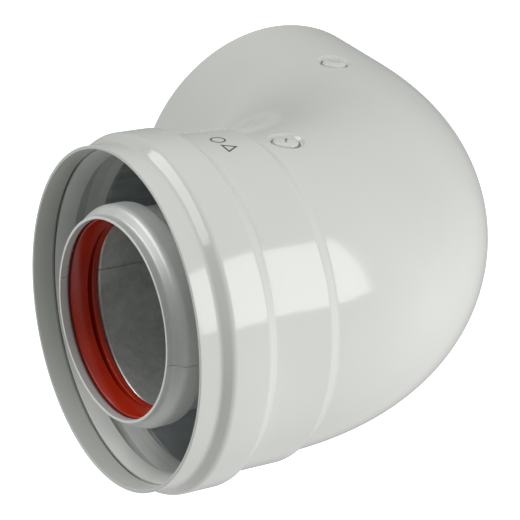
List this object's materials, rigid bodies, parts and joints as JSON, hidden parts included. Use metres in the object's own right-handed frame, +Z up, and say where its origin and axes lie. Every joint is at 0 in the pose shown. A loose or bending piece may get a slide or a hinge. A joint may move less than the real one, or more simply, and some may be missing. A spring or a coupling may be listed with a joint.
{
  "type": "concentric flue elbow",
  "caption": "Right-angle twin-wall flue elbow: a white outer air pipe around an inner flue pipe, with sealed sockets at one end and plain spigots at the other.",
  "frame": {"origin": "centre of the bounding box on the ground plane, with the elbow lying on its side", "axes": "+Z up, square to the plane of the bend; the socket mouth faces -X and the spigot mouth faces +Y"},
  "size_m": [0.1608, 0.144, 0.1096],
  "materials": {
    "casing_paint": "gloss white powder coat with a faint grey-green cast",
    "grey_rubber": "satin light grey moulded rubber",
    "flue_metal": "satin pressed aluminium",
    "red_silicone": "satin red silicone",
    "painted_screw": "painted over with the casing",
    "spacer_strip": "plain rolled strip"
  },
  "bodies": {
    "root": {"outer_elbow": "casing_paint", "outer_socket_seal": "grey_rubber", "inner_elbow_upper_half": "flue_metal", "inner_elbow_lower_half": "flue_metal", "inner_socket_seal": "red_silicone", "screw_socket_top": "painted_screw", "screw_spigot_top": "painted_screw", "screw_socket_underside": "painted_screw", "screw_spigot_underside": "painted_screw", "spacer_socket_top": "spacer_strip", "spacer_spigot_top": "spacer_strip", "spacer_socket_underside": "spacer_strip", "spacer_spigot_underside": "spacer_strip"}
  },
  "joints": []
}
